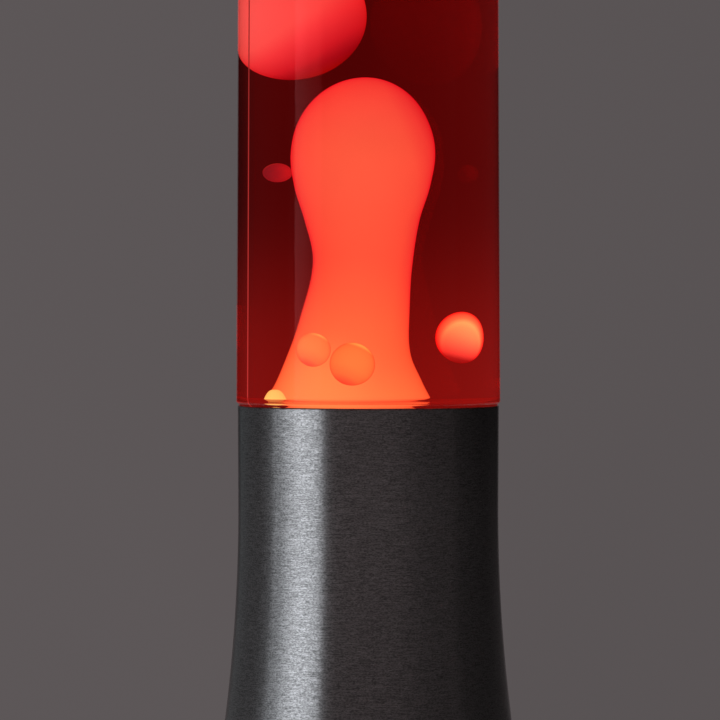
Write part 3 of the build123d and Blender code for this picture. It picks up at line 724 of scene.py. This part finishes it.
def make_bottle():
    """The glass, with a shallow hollow under its floor and a tight bottom corner at the base's rim."""
    punt_radius, punt_slant, punt_z = 28.5 * MM, 2.0 * MM, bottle_bottom + 1.5 * MM
    seat_radius, corner_radius = 33.5 * MM, 38.3 * MM
    inner_top = SHOULDER - GLASS_WALL
    points = outline(
        [
            (0, punt_z, 0),
            (punt_radius - punt_slant, punt_z, 1 * MM),
            (punt_radius, bottle_bottom, 1 * MM),
            (seat_radius, bottle_bottom, 4 * MM),
            (corner_radius, rim_z - 0.5 * MM, 1.5 * MM),
            (glass_line(rim_z), rim_z + 0.9 * MM, 0.9 * MM),
            (glass_line(SHOULDER), SHOULDER, SHOULDER_ROUND),
            (NECK_RADIUS, SHOULDER, 3 * MM),
            (NECK_RADIUS, FINISH_BOTTOM, 0.8 * MM),
            (FINISH_RADIUS, FINISH_BOTTOM, 0.4 * MM),
            (FINISH_RADIUS, bottle_top, 1.5 * MM),
            (NECK_BORE, bottle_top, 1 * MM),
            (NECK_BORE, inner_top, 2.5 * MM),
            (glass_line(SHOULDER, GLASS_WALL), inner_top, 5 * MM),
            (glass_line(inside_floor, GLASS_WALL), inside_floor, FLOOR_ROUND),
            (0, inside_floor, 0),
        ]
    )
    bottle = lathe("bottle", points, "bottle", closed=False)
    wear(bottle, GLASS)
    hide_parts("bottle_glass")
    return bottle


def make_liquid():
    """The liquid, a hair wider than the bottle's inside, so that no film of air shows between them."""
    overlap = 0.1 * MM
    floor = inside_floor - overlap
    side = glass_line(floor, GLASS_WALL) + overlap
    top_side = glass_line(liquid_level, GLASS_WALL) + overlap
    meniscus = [(0, 1.6), (0.5, 0.9), (1.4, 0.3), (3.0, 0)]   # in from the glass and up, in millimetres
    corners = [(0, floor, 0), (side, floor, FLOOR_ROUND)]
    corners += [(top_side - inward * MM, liquid_level + up * MM, 0) for inward, up in meniscus]
    corners += [(0, liquid_level, 0)]
    liquid = lathe("red_liquid", outline(corners), "bottle", closed=False)
    wear(liquid, LIQUID)
    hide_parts("liquid")
    return liquid


def make_seams():
    """The two lines that the halves of the mould leave on the bottle's side."""
    low, high = rim_z + 0.2 * MM, SHOULDER - SHOULDER_ROUND
    steps, crowding = 60, 1.8                        # the steps crowd at the bottom corner
    half_width, lift = 0.42 * MM, 0.07 * MM
    tuck_height, tuck_depth = 2.6 * MM, 1.75 * MM    # the seam follows the corner inwards
    bm = bmesh.new()
    for middle in (SEAM_ANGLE, SEAM_ANGLE + pi):
        rows = []
        for k in range(steps + 1):
            z = low + (high - low) * (k / steps) ** crowding
            radius = glass_line(z) - tuck_depth * max(0.0, 1 - (z - low) / tuck_height) ** 2
            turn = half_width / radius
            row = []
            for angle, out in ((middle - turn, 0), (middle, lift), (middle + turn, 0)):
                reach = radius + out
                row.append(bm.verts.new((reach * cos(angle), reach * sin(angle), z)))
            rows.append(row)
        for lower, upper in zip(rows, rows[1:]):
            for k in range(2):
                bm.faces.new([lower[k], lower[k + 1], upper[k + 1], upper[k]])
    seams = object_from("mould_seams", bm, "bottle")
    wear(seams, SEAM)


# ---- the wax ----
# The column's half-width and the sideways place of its middle, at heights above its foot, all in
# millimetres. The round head starts at the last height.
COLUMN_WIDTHS = [
    (0, 18.9),
    (1.7, 18.2),
    (6.4, 16.3),
    (14.4, 13.9),
    (26.4, 12.1),
    (42.4, 11.1),
    (55.4, 12.8),
    (65.4, 15.1),
    (74.4, 16.15),
]
COLUMN_CENTRES = [
    (0, -4.4),
    (6.4, -4.3),
    (14.4, -4.3),
    (26.4, -3.0),
    (42.4, -1.2),
    (55.4, -1.4),
    (74.4, -1.3),
]


def make_column():
    """The standing wax: a foot that curls in under itself, a neck and a round head that leans a little.

    Its sizes are in millimetres, and heights are above its foot.
    """
    undercut, lip, curl = 5.2, 1.7, 1.2              # how far in, up to where, and the curve's power
    head_start, head_radius = COLUMN_WIDTHS[-1]
    head_rise, head_lean = 23.6, 0.4
    segments, body_rings, head_rings = 160, 150, 60
    crowding = 1.3                                   # the body's rings crowd at the foot
    bm = bmesh.new()

    def level(h, radius, x):
        return ring(bm, radius * MM, column_bottom + h * MM, segments, x * MM)

    rings = [level(0, 0, COLUMN_CENTRES[0][1])]
    for k in range(body_rings + 1):
        h = head_start * (k / body_rings) ** crowding
        width = smooth_curve(COLUMN_WIDTHS, h, last_slope=0.0)
        tuck = undercut * max(0.0, 1 - h / lip) ** curl
        rings.append(level(h, width - tuck, smooth_curve(COLUMN_CENTRES, h)))
    for k in range(1, head_rings + 1):
        angle = pi / 2 * k / head_rings
        x = COLUMN_CENTRES[-1][1] + head_lean * sin(angle)
        rings.append(level(head_start + head_rise * sin(angle), head_radius * cos(angle), x))
    skin(bm, rings)
    wobble(bm, amount=0.25 * MM, scale=70.0, seed=3.0, above=column_bottom + 1 * MM)
    column = object_from("wax_column_poured", bm, "bottle", smooth_angle=60)
    wear(column, COLUMN_WAX)
    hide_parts("wax_column")


# Loose wax: its node, its body, its material, and the seed and the depth of its unevenness.
DROPS = [
    ("upper_blob", "upper_wax", UPPER_WAX, 1.0, 0.50 * MM),
    ("side_blob", "side_wax", SIDE_WAX, 2.0, 0.15 * MM),
    ("front_bead_small", "small_bead", SMALL_BEAD_WAX, 4.0, 0.15 * MM),
    ("front_bead_large", "large_bead", LARGE_BEAD_WAX, 5.0, 0.15 * MM),
    ("back_droplet", "back_wax", DROPLET_WAX, 6.0, 0.15 * MM),
]


def make_drop(node, body, material, seed, amount):
    """A loose piece of wax: an ellipsoid that fills its CAD solid, slightly uneven."""
    low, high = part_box(node)
    middle, half = (low + high) / 2, (high - low) / 2
    segments, levels = 96, 64
    bm = bmesh.new()
    rings = []
    for k in range(levels + 1):
        angle = -pi / 2 + pi * k / levels
        radius = half.x * cos(angle) if 0 < k < levels else 0.0
        rings.append(ring(bm, radius, middle.z + half.z * sin(angle), segments, middle.x, middle.y))
    skin(bm, rings)
    wobble(bm, amount, scale=0.7 / half.x, seed=seed)
    drop = object_from(f"{node}_wax", bm, body, smooth_angle=80)
    wear(drop, material)
    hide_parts(node)


def make_floor_drop():
    """The flat drop that lies on the bottle's floor, with a narrow foot and a blunt top."""
    low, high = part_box("floor_drop")
    middle, half = (low + high) / 2, (high - low) / 2
    foot_share, foot_end = 0.45, 0.25   # the foot's share of the radius, and where the rest is reached
    taper, dome = 0.55, 1.5             # powers that bend the side inwards and round the top
    segments, levels = 72, 28
    bm = bmesh.new()
    rings = [ring(bm, 0, low.z, segments, middle.x, middle.y)]
    for k in range(levels + 1):
        t = k / levels
        spread = foot_share + (1 - foot_share) * min(1.0, t / foot_end)
        radius = half.x * spread * (1 - t) ** taper
        rise = (high.z - low.z) * (1 - (1 - t) ** dome)
        rings.append(ring(bm, radius, low.z + rise, segments, middle.x, middle.y))
    skin(bm, rings)
    drop = object_from("floor_drop_wax", bm, "bottle", smooth_angle=80)
    wear(drop, FLOOR_WAX)
    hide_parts("floor_drop")


# ---- the cap ----
def make_cap():
    """The spun cap, open below, with brush marks round its side and in rings on its top."""
    edge_round = 0.45 * MM
    inner_top = cap_top - SHEET
    points = outline(
        [
            (0, inner_top, 0),
            (CAP_TOP_RADIUS - SHEET, inner_top, CAP_ROUND - SHEET),
            (CAP_LOW_RADIUS - SHEET, cap_bottom, edge_round),
            (CAP_LOW_RADIUS, cap_bottom, edge_round),
            (CAP_TOP_RADIUS, cap_top, CAP_ROUND),
            (0, cap_top, 0),
        ],
        step=0.15 * MM,
    )
    cap = lathe("cap_skin", points, "cap", closed=False, segments=320)
    wear(cap, METAL)
    cap.data.materials.append(CAP_TOP)
    lowest_ring_mark, steepest = cap_top - 1.3 * MM, 0.8
    for face in cap.data.polygons:
        if face.center.z > lowest_ring_mark and abs(face.normal.z) > steepest:
            face.material_index = 1
    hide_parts("cap_shell")


# ---- the bulb ----
def make_screw_cap():
    """The bulb's screw cap with a true right-handed thread rolled into its sheet."""
    pitch, root, crest, wall = 2.82 * MM, 6.45 * MM, 6.95 * MM, 0.3 * MM
    thread_top, run_out, sharpness = thread_bottom + 13.2 * MM, 1.0 * MM, 1.4
    neck_z, skirt_z, skirt = screw_cap_top - 6.4 * MM, screw_cap_top - 5.2 * MM, 8.5 * MM
    segments, steps = 96, 140
    bm = bmesh.new()

    def threaded(z, angle):
        """Radius of the rolled thread at this height and angle, fading out at both ends."""
        wave = 0.5 + 0.5 * cos(2 * pi * (z - thread_bottom) / pitch - angle)
        from_bottom = min(1.0, max(0.0, (z - thread_bottom) / run_out))
        from_top = min(1.0, max(0.0, (thread_top - z) / run_out))
        return root + (crest - root) * from_bottom * from_top * wave**sharpness

    rings = []
    for step in range(steps + 1):
        z = thread_bottom + (neck_z - thread_bottom) * step / steps
        row = []
        for k in range(segments):
            angle = 2 * pi * k / segments
            radius = threaded(z, angle)
            row.append(bm.verts.new((radius * cos(angle), radius * sin(angle), z)))
        rings.append(row)
    skirt_and_inside = [
        (skirt, skirt_z),
        (skirt, screw_cap_top),
        (skirt - wall, screw_cap_top),
        (skirt - wall, skirt_z + wall),
        (root - wall, neck_z + wall),
        (root - wall, thread_bottom),
    ]
    rings += [ring(bm, radius, z, segments) for radius, z in skirt_and_inside]
    skin(bm, rings + rings[:1])
    cap = object_from("threaded_screw_cap", bm, "bulb", smooth_angle=50)
    wear(cap, BRASS)
    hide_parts("bulb_screw_cap")


# ---- the studio ----
def surroundings(m, direction):
    """How bright the studio is in a direction.

    The backdrop behind the lamp is even. The rest, which the front view has only in reflections, is
    bright low down, darker high up and darkest to the right. All of it falls off a little rightwards.
    """
    x, y, z = (m.part(direction, axis) for axis in "XYZ")
    right = m.span(x, (0.25, 0.9), (1.0, 0.38), smooth=True)
    up = m.span(z, (-0.03, 0.17), (1.32, 0.72))
    level = m.span(y, (0.55, 0.9), (m.math("MULTIPLY", right, up), 1.0), smooth=True)
    drift = m.span(x, (-0.08, 0.08), (1.04, 0.95))
    return m.math("MULTIPLY", level, drift)


def make_floor():
    """A pale floor that fades into the backdrop's grey further out."""
    bm = bmesh.new()
    radii = [0.0, 0.1, 0.25, 0.5, 1.0, 2.0, 4.0, 8.0, 40.0]
    skin(bm, [ring(bm, radius, ground_z, 96) for radius in radii])
    floor = object_from("pale_floor", bm, None)
    m = Nodes("pale_floor")
    place = m.place()
    speckle = m.noise(place, scale=400.0, detail=2.0)
    m.set(
        Base_Color=m.mix(m.span(speckle, (0.3, 0.7)), (0.78, 0.77, 0.76), (0.82, 0.81, 0.80)),
        Roughness=0.6,
    )
    tone = surroundings(m, m.vector("NORMALIZE", place, result="Vector"))
    grey = m.add("ShaderNodeEmission", {"Color": BACKDROP, "Strength": tone})
    fade = m.span(m.vector("LENGTH", place), (0.22, 0.62), smooth=True)
    shaders = {"Fac": fade, 1: m.shader.outputs["BSDF"], 2: grey.outputs["Emission"]}
    blend = m.add("ShaderNodeMixShader", shaders)
    m.feed(m.output.inputs["Surface"], blend.outputs["Shader"])
    wear(floor, m.material)


def round_lamp(azimuth, distance, height):
    """A place at an angle round the lamp, 0 at the camera and growing to the picture's left."""
    angle = radians(azimuth)
    return Vector((-distance * sin(angle), -distance * cos(angle), height))


def aim(obj, target):
    """Turns a light or a camera towards a point."""
    obj.rotation_mode = "QUATERNION"
    obj.rotation_quaternion = (target - obj.location).to_track_quat("-Z", "Y")


def hide_from(obj, *rays):
    """Hides an object from some kinds of rays, which are those that its visible_ settings name."""
    for ray in rays:
        setattr(obj, f"visible_{ray}", False)


def softbox(name, azimuth, distance, height, width, tall, power, colour=NEUTRAL):
    """An area light round the lamp, aimed at the rim of the base. It shows in reflections only."""
    light = bpy.data.lights.new(name, "AREA")
    light.shape = "RECTANGLE"
    light.size, light.size_y = width, tall
    light.energy = power
    light.color = colour
    obj = bpy.data.objects.new(name, light)
    obj.location = round_lamp(azimuth, distance, height)
    aim(obj, Vector((0, 0, rim_z)))
    hide_from(obj, "camera", "transmission")
    bpy.context.collection.objects.link(obj)
    return obj


def flag(name, azimuth, distance, width, grey):
    """A dark card that only shows in reflections, as a photographer's black card would."""
    bm = bmesh.new()
    across, up = width / 2, 1.6
    corners = [(-across, 0, -up), (across, 0, -up), (across, 0, up), (-across, 0, up)]
    bm.faces.new([bm.verts.new(corner) for corner in corners])
    card = object_from(name, bm, None)
    card.location = round_lamp(azimuth, distance, rim_z)
    card.rotation_euler = (0, 0, -radians(azimuth))
    m = Nodes(name)
    m.set(Base_Color=(0, 0, 0), Roughness=1.0, Emission_Color=NEUTRAL, Emission_Strength=grey)
    wear(card, m.material)
    hide_from(card, "camera", "diffuse", "transmission", "shadow")


def keep_off(lights, objects, name):
    """Keeps some lights from shining on some objects."""
    spared = bpy.data.collections.new(name)
    for obj in objects:
        spared.objects.link(obj)
    for entry in spared.collection_objects:
        entry.light_linking.link_state = "EXCLUDE"
    for light in lights:
        light.light_linking.receiver_collection = spared


def make_studio(shell, bottle, liquid):
    """A grey surround, a row of tall keys and a weak fill to the left, an overhead light, two flags."""
    world = bpy.data.worlds.new("studio")
    bpy.context.scene.world = world
    m = Nodes("studio", world)
    direction = m.add("ShaderNodeTexCoord").outputs["Generated"]
    m.set(Color=BACKDROP, Strength=surroundings(m, direction))
    key_sizes = {"distance": 1.0, "height": 0.07, "width": 0.22, "tall": 0.55}
    keys = [
        softbox(f"key_{k}", FIRST_KEY + KEY_STEP * k, power=power, colour=COOL, **key_sizes)
        for k, power in enumerate(KEY_POWERS)
    ]
    fill_sizes = {"distance": 1.0, "height": 0.1, "width": 1.3, "tall": 0.6}
    fill = softbox("left_fill", azimuth=122, power=0.25, colour=COOL, **fill_sizes)
    overhead = softbox("overhead", azimuth=0, distance=0.25, height=1.6, width=1.2, tall=1.2, power=9.0)
    flag("left_flag", azimuth=118, distance=1.2, width=2.4, grey=0.0)
    flag("right_flag", azimuth=-123, distance=1.2, width=2.1, grey=0.001)
    keep_off((*keys[2:], fill), (bottle, liquid), "spared_from_side_light")
    keep_off((overhead,), (shell,), "spared_from_overhead")
    bpy.context.scene.view_settings.view_transform = "Standard"
    bpy.context.scene.view_settings.look = "None"


def make_camera():
    """A long lens a little above the base's rim, looking slightly down."""
    data = bpy.data.cameras.new("camera")
    camera = bpy.data.objects.new("camera", data)
    bpy.context.collection.objects.link(camera)
    target = Vector((-2.5 * MM, 0, rim_z + 13.6 * MM))
    distance, eye_height = 1.5, rim_z + 42 * MM
    picture_width = 217.8 * MM   # at the lamp's distance
    camera.location = (target.x, -distance, eye_height)
    aim(camera, target)
    data.sensor_width = 36
    data.lens = data.sensor_width * (target - camera.location).length / picture_width
    data.clip_start, data.clip_end = 0.05, 50
    bpy.context.scene.camera = camera


make_camera()
make_floor()
shell = make_base_shell()
bottle = make_bottle()
liquid = make_liquid()
make_seams()
make_studio(shell, bottle, liquid)
make_column()
for drop in DROPS:
    make_drop(*drop)
make_floor_drop()
make_cap()
make_screw_cap()
for node, material in FINISHES.items():
    wear(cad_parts[node], material)
